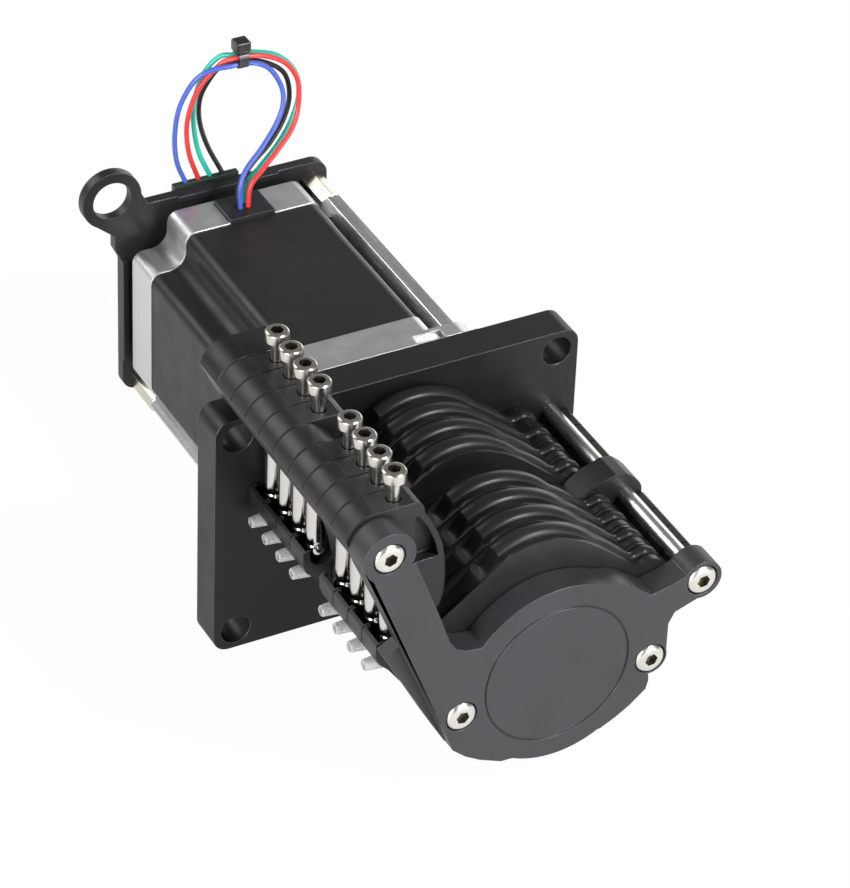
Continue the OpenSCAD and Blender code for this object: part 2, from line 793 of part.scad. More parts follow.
module track(k) {
  y = channel_y(k);
  half = part_width / 2;
  color([0.06, 0.06, 0.065])
    difference() {
      union() {
        slab(y - half, y + half)
          track_outline();
        // Bead that follows the hump, the slope and the small rise before the rod
        slab(y - 1.7, y + 2.5)
          difference() {
            union() {
              intersection() {
                translate([-2.3, 14])
                  circle(r = 21);
                translate([-60, 25.8])
                  square([120, 20]);
              }
              polygon([[0, 20], [-16, 20], [-16, 29.9], [0, 29.9], [14.3, 26.8], [16, 26.4],
                [20.8, 22.2], [22.6, 20], [24, 18.8], [25, 18.8], [26.2, 19.5], [27.8, 19.7],
                [29.6, 19.1], [31, 17.9], [31.9, 16], [32.2, 14], [24, 14]]);
            }
            circle(r = track_inner_radius);
          }
      }
      // Groove that the ball sweeps along as the lever opens
      translate([rotor_x + pivot_x, y + ball_diameter / 2 + 0.35, rotor_z + pivot_z])
        rotate([90, 0, 0])
          difference() {
            cylinder(r = ball_reach + 0.35, h = ball_diameter + 0.7);
            translate([-50, -60, -1])
              cube([50 + plunger_offset - 4, 100, 10]);
          }
      // Passage of the outlet tube
      translate([rotor_x + 17, y, rotor_z + 9.7])
        rotate([0, 90, 0])
          cylinder(r = 1.7, h = 11);
      translate([rotor_x - 28.5, y - 1.7, rotor_z + 4])
        cube([10, 3.4, 7.4]);
      // Slot round the nozzle, open underneath so that the track can lift
      translate([rotor_x - 50, y - nozzle_diameter / 2 - 0.35, rotor_z])
        cube([18, nozzle_diameter + 0.7, 9.7]);
      translate([rotor_x - 50, y, rotor_z + 9.7])
        rotate([0, 90, 0])
          cylinder(r = nozzle_diameter / 2 + 0.35, h = 18);
    }
}

mounting_plate();
middle_support();
front_cover();
lever_shaft();
hook_rod();
tie_rods();
pan_head_screws();
rotor_bearings();
tubes();
nozzles();
motor_front_cap();
motor_stator();
motor_rear_cap();
lead_grommet();
blue_lead();
red_lead();
green_lead();
black_lead();
cable_tie();
rear_bracket();
standoffs();
terminal_board();
motor_shaft();
roller_carrier();
roller(1);  // roller_1
roller(2);  // roller_2
roller(3);  // roller_3
roller(4);  // roller_4
lever(1);  // lever_1
lever(2);  // lever_2
lever(3);  // lever_3
lever(4);  // lever_4
lever(5);  // lever_5
lever(6);  // lever_6
lever(7);  // lever_7
lever(8);  // lever_8
plunger(1);  // plunger_1
plunger(2);  // plunger_2
plunger(3);  // plunger_3
plunger(4);  // plunger_4
plunger(5);  // plunger_5
plunger(6);  // plunger_6
plunger(7);  // plunger_7
plunger(8);  // plunger_8
screw(1);  // screw_1
screw(2);  // screw_2
screw(3);  // screw_3
screw(4);  // screw_4
screw(5);  // screw_5
screw(6);  // screw_6
screw(7);  // screw_7
screw(8);  // screw_8
track(1);  // track_1
track(2);  // track_2
track(3);  // track_3
track(4);  // track_4
track(5);  // track_5
track(6);  // track_6
track(7);  // track_7
track(8);  // track_8
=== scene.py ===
"""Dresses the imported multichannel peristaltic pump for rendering."""
import json
import math

import bmesh
import bpy
from mathutils import Euler, Matrix, Vector


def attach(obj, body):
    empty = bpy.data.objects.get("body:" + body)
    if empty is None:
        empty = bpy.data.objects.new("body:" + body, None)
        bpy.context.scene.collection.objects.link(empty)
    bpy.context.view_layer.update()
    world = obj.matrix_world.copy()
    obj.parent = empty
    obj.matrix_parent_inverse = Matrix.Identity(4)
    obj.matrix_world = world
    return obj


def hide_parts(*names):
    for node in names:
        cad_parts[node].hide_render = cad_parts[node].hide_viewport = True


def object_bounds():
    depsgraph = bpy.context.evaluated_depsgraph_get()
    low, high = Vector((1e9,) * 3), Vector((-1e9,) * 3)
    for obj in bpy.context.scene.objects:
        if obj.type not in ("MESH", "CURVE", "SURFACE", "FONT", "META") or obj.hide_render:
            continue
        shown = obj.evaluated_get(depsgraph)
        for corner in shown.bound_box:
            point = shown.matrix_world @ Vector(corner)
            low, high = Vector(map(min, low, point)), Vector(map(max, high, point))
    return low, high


bl_info = {
    "name": "Multichannel peristaltic pump",
    "version": (1, 0, 0),
    "blender": (4, 5, 0),
    "location": "3D View > Sidebar > Pump",
    "description": "Builds the visible pieces of the pump round its packed frame",
    "category": "Object",
}

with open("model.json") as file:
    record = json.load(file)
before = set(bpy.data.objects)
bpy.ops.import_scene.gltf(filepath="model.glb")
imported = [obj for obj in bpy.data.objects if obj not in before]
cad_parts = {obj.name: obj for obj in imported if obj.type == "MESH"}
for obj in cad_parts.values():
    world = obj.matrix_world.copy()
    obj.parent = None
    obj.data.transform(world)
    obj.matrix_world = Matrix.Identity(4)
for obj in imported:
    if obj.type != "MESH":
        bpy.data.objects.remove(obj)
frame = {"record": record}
CAD_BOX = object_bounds()
MM = 0.001
ROTOR = Vector((4.0, 0.0, -3.85)) * MM
CHANNELS = range(1, 9)
ROLLERS = range(1, 5)

# Millimetres from the rotor axis, the pairs as (x, z)
PIVOT = (-44.5, 47.5)
ROD = (37.3, 14.7)
TIES = ((24.8, -4.2), (-24.5, -4.2))
NOZZLE = (-40.4, 9.7)
PLUNGER_X = -38.4
SCREW_TOP = PIVOT[1] + 15.5
COVER_SEAT_Y = -71.6
BRACKET_SEAT_Y = 105.1
MOTOR_HOLE = 23.57

# Millimetres in the frame itself: the standoffs are nickel-plated from NICKEL_FROM_Y back
NICKEL_FROM_Y = 90.2
TIE_X, TIE_Y, TIE_Z, TIE_HEAD_Z = 6.1, 99.9, 63.3, 67.0
LEAD_DIAMETER = 1.3

# Millimetres that a bead's square top sinks, and that its rounded one stands to the rear
BEAD_SINK = 1.3
BEAD_SHIFT = 0.4

# Degrees: edges sharper than EDGE_ANGLE are rounded, faces flatter than SMOOTH_ANGLE shade as one
EDGE_ANGLE = 28.0
SMOOTH_ANGLE = 40.0
SCREW_ANGLE = 30.0

# The shading's own rounding of edges, in metres, and its samples
SHADE_RADIUS = 0.0005
BEVEL_SAMPLES = 6


def channel_y(k):
    """Y of the middle of channel k, counted from the mounting plate."""
    pitch, support = 7.2, 8.0
    return -0.175 - (k - 0.5) * pitch - (support if k > 4 else 0.0)


def at(x, y, z):
    """A point given in millimetres from the rotor axis, in metres."""
    return Vector((x, y, z)) * MM + ROTOR


# Materials


def new_material(name, base, rough, metal=0.0):
    """A material with its node tree and its main shader."""
    mat = bpy.data.materials.new(name)
    mat.use_nodes = True
    shader = mat.node_tree.nodes["Principled BSDF"]
    shader.inputs["Base Color"].default_value = (*base, 1.0)
    shader.inputs["Roughness"].default_value = rough
    shader.inputs["Metallic"].default_value = metal
    return mat, mat.node_tree, shader


def object_coordinates(tree, scale=(1, 1, 1)):
    """Scaled coordinates that stay with the piece when it moves."""
    coords = tree.nodes.new("ShaderNodeTexCoord")
    mapping = tree.nodes.new("ShaderNodeMapping")
    mapping.inputs["Scale"].default_value = scale
    tree.links.new(coords.outputs["Object"], mapping.inputs["Vector"])
    return mapping.outputs["Vector"]


def noise(tree, vector, scale, detail=3.0, rough=0.55):
    """Noise from 0 to 1, finer with a larger scale."""
    node = tree.nodes.new("ShaderNodeTexNoise")
    node.inputs["Scale"].default_value = scale
    node.inputs["Detail"].default_value = detail
    node.inputs["Roughness"].default_value = rough
    tree.links.new(vector, node.inputs["Vector"])
    return node.outputs["Fac"]


def ramp(tree, value, low, high, out_low, out_high):
    """Maps a value from one range to another."""
    node = tree.nodes.new("ShaderNodeMapRange")
    node.inputs["From Min"].default_value = low
    node.inputs["From Max"].default_value = high
    node.inputs["To Min"].default_value = out_low
    node.inputs["To Max"].default_value = out_high
    tree.links.new(value, node.inputs["Value"])
    return node.outputs["Result"]


def mix_colors(tree, value, dark, light):
    """Blends two colours by a value from 0 to 1."""
    node = tree.nodes.new("ShaderNodeMix")
    node.data_type = "RGBA"
    node.inputs["A"].default_value = (*dark, 1.0)
    node.inputs["B"].default_value = (*light, 1.0)
    tree.links.new(value, node.inputs["Factor"])
    return node.outputs["Result"]


def bump(tree, shader, height, strength, distance, edge_radius=0.0):
    """Fine relief, over edges that the shading rounds when a radius is given."""
    node = tree.nodes.new("ShaderNodeBump")
    if edge_radius:
        rounded = tree.nodes.new("ShaderNodeBevel")
        rounded.samples = BEVEL_SAMPLES
        rounded.inputs["Radius"].default_value = edge_radius
        tree.links.new(rounded.outputs["Normal"], node.inputs["Normal"])
    node.inputs["Strength"].default_value = strength
    node.inputs["Distance"].default_value = distance
    tree.links.new(height, node.inputs["Height"])
    tree.links.new(node.outputs["Normal"], shader.inputs["Normal"])


def scaled(color, share):
    """A lighter or darker colour."""
    return tuple(c * share for c in color)


def moulded_black(name, base, rough, grain, strength, edge_radius=SHADE_RADIUS):
    """Satin black moulding with a fine grain and a little wear in its gloss."""
    mat, tree, shader = new_material(name, base, rough)
    shader.inputs["Specular IOR Level"].default_value = 0.3
    vector = object_coordinates(tree)
    fine = noise(tree, vector, grain, 4.0)
    broad = noise(tree, vector, 90.0, 2.0)
    tint = mix_colors(tree, broad, scaled(base, 0.82), scaled(base, 1.25))
    tree.links.new(tint, shader.inputs["Base Color"])
    tree.links.new(ramp(tree, broad, 0.3, 0.7, rough - 0.05, rough + 0.06), shader.inputs["Roughness"])
    bump(tree, shader, fine, strength, 0.00006, edge_radius)
    return mat


def brushed_metal(name, base, rough, scale, strength):
    """Ground or plated metal with streaks along one axis."""
    mat, tree, shader = new_material(name, base, rough, 1.0)
    vector = object_coordinates(tree, scale)
    streaks = noise(tree, vector, 1.0, 3.0, 0.6)
    tree.links.new(ramp(tree, streaks, 0.25, 0.75, rough * 0.75, rough * 1.3), shader.inputs["Roughness"])
    tree.links.new(mix_colors(tree, streaks, scaled(base, 0.9), base), shader.inputs["Base Color"])
    bump(tree, shader, streaks, strength, 0.00002)
    return mat


def blasted_metal(name, base):
    """Bead-blasted cast aluminium that sparkles."""
    mat, tree, shader = new_material(name, base, 0.42, 1.0)
    vector = object_coordinates(tree)
    fine = noise(tree, vector, 3200.0, 2.0, 0.7)
    broad = noise(tree, vector, 160.0, 3.0)
    tint = mix_colors(tree, fine, scaled(base, 0.72), scaled(base, 1.2))
    tree.links.new(tint, shader.inputs["Base Color"])
    tree.links.new(ramp(tree, broad, 0.3, 0.7, 0.36, 0.5), shader.inputs["Roughness"])
    bump(tree, shader, fine, 0.5, 0.00008, SHADE_RADIUS)
    return mat


def stacked_laminations(name):
    """Thin black sheets stacked along the motor's length, under a dull varnish."""
    mat, tree, shader = new_material(name, (0.01, 0.01, 0.01), 0.4)
    shader.inputs["Specular IOR Level"].default_value = 0.3
    vector = object_coordinates(tree, (60, 2600, 60))
    sheets = noise(tree, vector, 1.0, 2.0, 0.5)
    broad = noise(tree, object_coordinates(tree), 120.0, 2.0)
    tint = mix_colors(tree, sheets, (0.006, 0.006, 0.006), (0.016, 0.0155, 0.015))
    tree.links.new(tint, shader.inputs["Base Color"])
    tree.links.new(ramp(tree, broad, 0.3, 0.7, 0.36, 0.46), shader.inputs["Roughness"])
    bump(tree, shader, sheets, 0.4, 0.00006)
    return mat


def soft_plastic(name, base, rough, transmission, subsurface):
    """Lead insulation, pump tubing and translucent mouldings."""
    mat, tree, shader = new_material(name, base, rough)
    shader.inputs["Transmission Weight"].default_value = transmission
    shader.inputs["Subsurface Weight"].default_value = subsurface
    shader.inputs["Subsurface Scale"].default_value = 0.002
    vector = object_coordinates(tree)
    fine = noise(tree, vector, 260.0, 3.0)
    tree.links.new(mix_colors(tree, fine, scaled(base, 0.85), base), shader.inputs["Base Color"])
    tree.links.new(ramp(tree, fine, 0.3, 0.7, rough * 0.85, rough * 1.15), shader.inputs["Roughness"])
    bump(tree, shader, fine, 0.08, 0.00005)
    return mat


MATERIALS = {}


# name: colour, roughness, streak scale, relief
METALS = {
    "ground_steel": ((0.82, 0.8, 0.77), 0.3, (900, 90, 900), 0.08),
    "zinc_screws": ((0.64, 0.61, 0.56), 0.22, (600, 600, 160), 0.08),
    "bright_screws": ((0.66, 0.65, 0.6), 0.28, (500, 500, 500), 0.06),
    # The sockets' dark brown-grey is painted shade inside the hexagonal recesses, not a different metal
    "socket_painted_shade": ((0.16, 0.14, 0.11), 0.4, (500, 500, 500), 0.06),
    "zinc_bar": ((0.78, 0.78, 0.8), 0.24, (900, 60, 900), 0.1),
    "nickel_bar": ((0.74, 0.69, 0.6), 0.25, (900, 60, 900), 0.1),
    "chrome_steel": ((0.6, 0.585, 0.56), 0.14, (700, 700, 90), 0.04),
    "bronze_bush": ((0.6, 0.45, 0.2), 0.35, (300, 900, 300), 0.15),
    "carrier_aluminium": ((0.6, 0.6, 0.61), 0.3, (300, 900, 300), 0.15),
}

# name: colour, roughness, transmission, subsurface
SOFT_PLASTICS = {
    "tube_rubber": ((0.7, 0.68, 0.6), 0.5, 0.0, 0.2),
    "clear_plastic": ((0.78, 0.78, 0.77), 0.28, 0.6, 0.0),
    "blue_insulation": ((0.055, 0.1, 0.44), 0.34, 0.0, 0.0),
    "red_insulation": ((0.62, 0.03, 0.03), 0.34, 0.0, 0.0),
    "green_insulation": ((0.01, 0.42, 0.31), 0.34, 0.0, 0.0),
    "black_insulation": ((0.012, 0.012, 0.013), 0.32, 0.0, 0.0),
    "green_board": ((0.01, 0.02, 0.016), 0.35, 0.0, 0.0),
}


def make_materials(look):
    """Fills MATERIALS, the mouldings from the panel's colour and roughness, some of them as lighter or
    darker copies that paint light and shade.
    """
    base, rough = tuple(look.moulding), look.moulding_roughness
    # The cover's copy is 2.1 times lighter, which is painted light, and the plate's is 0.55 as dark,
    # which is painted shade: all three are the same black moulding
    for name, share, more in (("black_plastic", 1.0, 0.0), ("cover_painted_light", 2.1, 0.02),
                              ("plate_painted_shade", 0.55, 0.02)):
        MATERIALS[name] = moulded_black(name, scaled(base, share), rough + more, 2400.0, 0.25)
    MATERIALS["track_plastic"] = moulded_black("track_plastic", base, rough - 0.06, 1800.0, 0.1, 0.0)
    # Lighter, glossier copies for the faces of the rounded edges: a painted highlight along the edges of
    # the black mouldings, strongest on the cover
    for name, share in (("edge_painted_highlight", 1.6), ("cover_edge_painted_highlight", 4.5)):
        MATERIALS[name] = moulded_black(name, scaled(base, share), rough - 0.13, 1800.0, 0.05, 0.0)
        highlight_shader = MATERIALS[name].node_tree.nodes["Principled BSDF"]
        highlight_shader.inputs["Specular IOR Level"].default_value = 1.0
    for name, values in METALS.items():
        MATERIALS[name] = brushed_metal(name, *values)
    MATERIALS["blasted_aluminium"] = blasted_metal("blasted_aluminium", (0.66, 0.66, 0.67))
    MATERIALS["black_laminations"] = stacked_laminations("black_laminations")
    for name, values in SOFT_PLASTICS.items():
        MATERIALS[name] = soft_plastic(name, *values)


# Mesh helpers


def link_mesh(name, bm, material, smooth_angle=SMOOTH_ANGLE):
    """Makes an object at the origin from a bmesh, smooth up to an angle."""
    mesh = bpy.data.meshes.new(name)
    for face in bm.faces:
        face.smooth = True
    limit = math.radians(smooth_angle)
    for edge in bm.edges:
        edge.smooth = len(edge.link_faces) == 2 and edge.calc_face_angle(0.0) < limit
    bm.to_mesh(mesh)
    bm.free()
    obj = bpy.data.objects.new(name, mesh)
    bpy.context.scene.collection.objects.link(obj)
    mesh.materials.append(MATERIALS[material])
    even = obj.modifiers.new("flat_faces_stay_flat", "WEIGHTED_NORMAL")
    even.weight = 100
    even.keep_sharp = True
    return obj


def mount_piece(obj, body, slot, *nodes):
    """Lets a piece ride a body in the place of its CAD nodes, which it hides; the slot is not used."""
    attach(obj, body)
    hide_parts(*nodes)


def body_of(node):
    """The body that carries a CAD node in the record."""
    bodies = frame["record"]["behaviour"]["bodies"]
    return next(name for name, nodes in bodies.items() if node in nodes)


def node_copy(node):
    """A merged copy of a CAD node's mesh with its flat faces joined."""
    bm = bmesh.new()
    bm.from_mesh(bpy.data.objects[node].data)
    bmesh.ops.remove_doubles(bm, verts=bm.verts[:], dist=2e-6)
    bmesh.ops.dissolve_degenerate(bm, dist=1e-6, edges=bm.edges[:])
    bmesh.ops.dissolve_limit(bm, angle_limit=math.radians(0.6), use_dissolve_boundaries=False,
                             verts=bm.verts[:], edges=bm.edges[:])
    return bm


def soften(bm, width, segments=2, angle=EDGE_ANGLE, keep=None):
    """Rounds the sharp edges, apart from the ones that keep() names, and gives them material 1, which on
    the black mouldings is a lighter copy that paints a highlight along the edges.
    """
    sharp = [e for e in bm.edges if len(e.link_faces) == 2
             and abs(e.calc_face_angle(0.0)) > math.radians(angle) and not (keep and keep(e))]
    if sharp:
        made = bmesh.ops.bevel(bm, geom=sharp, offset=width, offset_type="OFFSET", affect="EDGES",
                               segments=segments, profile=0.5, material=-1, clamp_overlap=True,
                               loop_slide=True)
        for face in made["faces"]:
            face.material_index = 1


def dressed_node(node, slot, width, segments=2, material=None):
    """Stands a softened copy in for a CAD node, in its slot's material or another."""
    bm = node_copy(node)
    soften(bm, width, segments)
    obj = link_mesh(node + "_finished", bm, material or slot)
    # On black mouldings material 1 is the lighter edge copy, a painted highlight; other pieces keep their
    # own material there
    obj.data.materials.append(MATERIALS["edge_painted_highlight" if slot == "black_plastic" else slot])
    mount_piece(obj, body_of(node), slot, node)


def revolved(profile, segments, place):
    """A closed solid of revolution from (radius, height) points, in metres."""
    bm = bmesh.new()
    verts = [bm.verts.new((r, 0.0, h)) for r, h in profile]
    edges = [bm.edges.new(pair) for pair in zip(verts, verts[1:])]
    bmesh.ops.spin(bm, geom=verts + edges, cent=(0, 0, 0), axis=(0, 0, 1), angle=math.tau,
                   steps=segments, use_merge=True, use_duplicate=False)
    bmesh.ops.remove_doubles(bm, verts=bm.verts[:], dist=1e-7)
    bmesh.ops.recalc_face_normals(bm, faces=bm.faces[:])
    bmesh.ops.transform(bm, matrix=place, verts=bm.verts[:])
    return bm


def join_bmesh(target, other):
    """Adds the second bmesh to the first and frees it."""
    mesh = bpy.data.meshes.new("joining")
    other.to_mesh(mesh)
    other.free()
    target.from_mesh(mesh)
    bpy.data.meshes.remove(mesh)


def along_y(x, y, z, back=False):
    """Places a shape made along +Z so that it points to -Y, or to +Y."""
    turn = Euler((math.radians(-90.0 if back else 90.0), 0, 0)).to_matrix().to_4x4()
    return Matrix.Translation(at(x, y, z)) @ turn


def along_minus_x(x, y, z):
    """Places a shape made along +Z so that it points to -X."""
    return Matrix.Translation(at(x, y, z)) @ Euler((0, math.radians(-90.0), 0)).to_matrix().to_4x4()


def smooth_route(points, steps=6):
    """Points in metres on a smooth curve through the given ones, in millimetres."""
    pts = [Vector(p) * MM for p in points]
    ends = [pts[0] * 2 - pts[1]] + pts + [pts[-1] * 2 - pts[-2]]
    route = []
    for a, b, c, d in zip(ends, ends[1:], ends[2:], ends[3:]):
        for i in range(steps):
            t = i / steps
            route.append(0.5 * (2 * b + (c - a) * t + (2 * a - 5 * b + 4 * c - d) * t * t
                                + (3 * b - a - 3 * c + d) * t ** 3))
    route.append(pts[-1])
    return route


# Property groups


class PumpLook(bpy.types.PropertyGroup):
    moulding: bpy.props.FloatVectorProperty(
        name="Moulding colour", description="Colour of the black mouldings",
        subtype="COLOR", size=3, min=0.0, max=1.0, default=(0.013, 0.013, 0.0145))
    moulding_roughness: bpy.props.FloatProperty(
        name="Moulding roughness", description="Roughness of the black mouldings",
        min=0.1, max=0.9, default=0.4, subtype="FACTOR")
    edge_round: bpy.props.FloatProperty(
        name="Edge rounding", description="Width of the rounded edges of the mouldings",
        min=0.0001, max=0.001, default=0.00045, unit="LENGTH")


# Corners of the cover's outline as (x, z) and how far each moves, in millimetres: the left
# arm's corner goes onto the hub's round edge, and the rim runs smoothly into the right arm
COVER_MOVES = (((-49.6, 41.6), (-0.6, 2.6)), ((12.9, 20.9), (0.3, 0.4)), ((14.1, 20.0), (0.5, 0.95)),
               ((15.4, 19.1), (0.6, 1.3)), ((16.5, 18.1), (1.0, 1.5)), ((18.5, 18.3), (1.1, -0.1)),
               ((24.4, 15.2), (-0.5, -0.4)))
COVER_REACH = 0.6


class PUMP_OT_mouldings(bpy.types.Operator):
    """Softens the edges of the plate, the supports, the cover and the bracket"""
    bl_idname = "pump.mouldings"
    bl_label = "Mouldings"

    def execute(self, context):
        look = context.scene.pump_look
        # The mounting plate takes the darker copy of the black moulding, which is painted shade
        dressed_node("mounting_plate", "black_plastic", look.edge_round * 1.4, 3, "plate_painted_shade")
        dressed_node("middle_support", "black_plastic", look.edge_round)
        self.front_cover(look.edge_round * 1.6)
        dressed_node("rear_bracket", "black_plastic", look.edge_round * 0.6)
        dressed_node("lead_grommet", "black_plastic", look.edge_round)
        return {"FINISHED"}

    def front_cover(self, width):
        """The front cover with its outline's corners moved and its edges rounded."""
        bm = node_copy("front_cover")
        for spot, (dx, dz) in COVER_MOVES:
            near = [v for v in bm.verts
                    if (Vector(spot) - ((v.co - ROTOR) / MM).xz).length < COVER_REACH]
            for v in near:
                v.co += Vector((dx, 0.0, dz)) * MM
        soften(bm, width, 3)
        # The cover takes the lighter copy of the black moulding, which is painted light
        obj = link_mesh("front_cover_finished", bm, "cover_painted_light")
        # Its rounded edges take a still lighter copy, a painted highlight
        obj.data.materials.append(MATERIALS["cover_edge_painted_highlight"])
        mount_piece(obj, "base", "black_plastic", "front_cover")


class PUMP_OT_levers(bpy.types.Operator):
    """Softens the edges of the eight levers"""
    bl_idname = "pump.levers"
    bl_label = "Levers"

    def execute(self, context):
        width = context.scene.pump_look.edge_round
        for k in CHANNELS:
            dressed_node("lever_%d" % k, "black_plastic", width)
        return {"FINISHED"}


# The bead's crest as (x, z, half width, height): an arc over the hump, then down to the rod
BEAD_CREST = [(-2.3 + 21.0 * math.cos(math.radians(a)), 14.0 + 21.0 * math.sin(math.radians(a)),
               2.12, 1.35) for a in range(119, 46, -9)]
BEAD_CREST += [(14.6, 26.9, 2.05, 1.3), (17.4, 24.8, 1.9, 1.2), (20.6, 22.1, 1.7, 1.1),
               (22.6, 20.2, 1.45, 1.0), (24.3, 18.95, 1.2, 0.9), (25.8, 19.2, 1.25, 0.9),
               (27.4, 19.65, 1.4, 1.0), (29.0, 19.3, 1.35, 1.0), (30.4, 18.3, 1.2, 1.0),
               (31.5, 16.6, 1.0, 0.9), (32.1, 14.6, 0.7, 0.8)]


def on_bead(vert, y):
    """Whether a vertex of a track belongs to the bead on its hump."""
    spot = (vert.co - ROTOR) / MM
    return -1.75 < spot.y - y < 2.55 and spot.x > -20.5 and spot.z > 13.5 and spot.xz.length > 24.0


def ridge(points, y):
    """A rounded ridge along crest points (x, z, half width, height), in millimetres."""
    sides, skirt = 12, 0.9 * MM
    route = smooth_route(points, 4)
    bm = bmesh.new()
    rings = []
    for i, p in enumerate(route):
        step = (route[min(i + 1, len(route) - 1)] - route[max(i - 1, 0)]).xy.normalized()
        section = [(p.z * math.cos(math.pi * j / sides), p.w * (math.sin(math.pi * j / sides) - 1.0))
                   for j in range(sides + 1)]
        section += [(-p.z, -p.w - skirt), (p.z, -p.w - skirt)]
        ring = [Vector((p.x - step.y * rise, y * MM + across, p.y + step.x * rise)) + ROTOR
                for across, rise in section]
        rings.append([bm.verts.new(place) for place in ring])
    for a, b in zip(rings, rings[1:]):
        for j in range(len(a)):
            bm.faces.new((a[j - 1], a[j], b[j], b[j - 1]))
    bm.faces.new(rings[0])
    bm.faces.new(rings[-1])
    bmesh.ops.recalc_face_normals(bm, faces=bm.faces[:])
    return bm


class PUMP_OT_tracks(bpy.types.Operator):
    """Softens the edges of the eight tracks and rounds their beads"""
    bl_idname = "pump.tracks"
    bl_label = "Tracks"

    def execute(self, context):
        width = context.scene.pump_look.edge_round
        for k in CHANNELS:
            y = channel_y(k)
            bm = node_copy("track_%d" % k)
            soften(bm, width * 0.8, 2, 35.0, keep=lambda e: all(on_bead(v, y) for v in e.verts))
            self.sink_bead(bm, y)
            join_bmesh(bm, ridge(BEAD_CREST, y + BEAD_SHIFT))
            obj = link_mesh("track_%d_finished" % k, bm, "track_plastic")
            # The rounded edges take the lighter edge copy, a painted highlight
            obj.data.materials.append(MATERIALS["edge_painted_highlight"])
            mount_piece(obj, "track_%d_body" % k, "track_plastic", "track_%d" % k)
        return {"FINISHED"}

    def sink_bead(self, bm, y):
        """Pushes the square bead's top down, below the rounded one that covers it."""
        bead = [f for f in bm.faces if all(on_bead(v, y) for v in f.verts)]
        tops = [f for f in bead if abs(f.normal.y) < 0.1
                and f.normal.dot(f.calc_center_median() - ROTOR) > 0.0]
        bmesh.ops.triangulate(bm, faces=[f for f in bead if len(f.verts) > 4])
        inward = {v: Vector() for f in tops for v in f.verts}
        for face in tops:
            for v in face.verts:
                inward[v] -= face.normal
        for v, push in inward.items():
            v.co += push.normalized() * BEAD_SINK * MM


class PUMP_OT_plungers(bpy.types.Operator):
    """Makes the eight ball-ended plungers"""
    bl_idname = "pump.plungers"
    bl_label = "Plungers"

    def execute(self, context):
        ball, drop = 2.65, 31.5
        angles = [math.radians(6.0 * i) for i in range(22)]
        profile = [(ball * math.sin(a), -drop - ball * math.cos(a)) for a in angles]
        profile += [(2.15, -29.7), (2.15, -29.1), (2.22, -28.95), (2.4, -28.8), (2.4, -8.75),
                    (2.25, -8.6), (2.0, -8.55), (2.0, -7.95), (2.25, -7.9), (2.4, -7.75), (2.4, 4.1),
                    (2.2, 4.4), (1.6, 4.4), (1.6, -4.2), (0.0, -4.4)]
        for k in CHANNELS:
            place = Matrix.Translation(at(PLUNGER_X, channel_y(k), PIVOT[1]))
            bm = revolved([(r * MM, h * MM) for r, h in profile], 40, place)
            obj = link_mesh("plunger_%d_turned" % k, bm, "chrome_steel")
            mount_piece(obj, "plunger_%d_body" % k, "chrome_steel", "plunger_%d" % k)
        return {"FINISHED"}


def socket_screw(profile, across, depth, place):
    """A turned screw with a six-sided socket sunk in its flat top, whose faces take material 1 to paint
    the shade in the recess.
    """
    bm = revolved([(r * MM, h * MM) for r, h in profile], 48, Matrix.Identity(4))
    top, reach = profile[-1][1] * MM, across * MM / math.sqrt(3.0)
    angles = [math.tau * i / 6 for i in range(6)]
    corners = [bm.verts.new((reach * math.cos(a), reach * math.sin(a), top)) for a in angles]
    rim = [e for e in bm.edges if e.is_boundary]
    sides = [bm.edges.new((corners[i], corners[(i + 1) % 6])) for i in range(6)]
    bmesh.ops.triangle_fill(bm, use_beauty=True, edges=rim + sides)
    inside = [f for f in bm.faces if all(v in corners for v in f.verts)]
    bmesh.ops.delete(bm, geom=inside, context="FACES")
    outside = set(bm.faces)
    sunk = bmesh.ops.extrude_edge_only(bm, edges=[e for e in bm.edges if e.is_boundary])
    low = [v for v in sunk["geom"] if isinstance(v, bmesh.types.BMVert)]
    bmesh.ops.translate(bm, verts=low, vec=(0, 0, -depth * MM))
    bmesh.ops.contextual_create(bm, geom=[e for e in bm.edges if e.is_boundary])
    # The socket's walls and floor take material 1, painted shade
    for face in bm.faces:
        face.material_index = 0 if face in outside else 1
    bmesh.ops.recalc_face_normals(bm, faces=bm.faces[:])
    bmesh.ops.transform(bm, matrix=place, verts=bm.verts[:])
    return bm


# Half sections of the screws as (radius, height) in millimetres
CAP_SCREW = [(0.0, -18.7), (1.2, -18.7), (1.5, -18.3), (1.5, -3.05), (1.62, -3.0), (2.6, -3.0),
             (2.8, -2.85), (2.85, -2.7), (2.85, -0.5), (2.8, -0.36), (2.5, -0.06), (2.35, 0.0),
             (2.2, 0.0)]
BUTTON_SCREW = [(0.0, -5.8), (1.45, -5.8), (1.45, 0.0), (3.65, 0.0), (3.8, 0.15), (3.8, 0.9),
                (3.74, 1.15), (3.5, 1.45), (3.15, 1.75), (2.9, 1.86), (2.6, 1.94), (2.2, 2.0),
                (2.0, 2.0)]


class PUMP_OT_adjusters(bpy.types.Operator):
    """Makes the eight socket-head adjuster screws"""
    bl_idname = "pump.adjusters"
    bl_label = "Adjuster screws"

    def execute(self, context):
        for k in CHANNELS:
            turn = Matrix.Rotation(math.radians(37.0 * k % 60), 4, "Z")
            place = Matrix.Translation(at(PLUNGER_X, channel_y(k), SCREW_TOP)) @ turn
            bm = socket_screw(CAP_SCREW, 2.8, 2.0, place)
            obj = link_mesh("screw_%d_turned" % k, bm, "zinc_screws", SCREW_ANGLE)
            # The sockets take the dark material, painted shade in the recesses
            obj.data.materials.append(MATERIALS["socket_painted_shade"])
            mount_piece(obj, "screw_%d_body" % k, "zinc_screws", "screw_%d" % k)
        return {"FINISHED"}


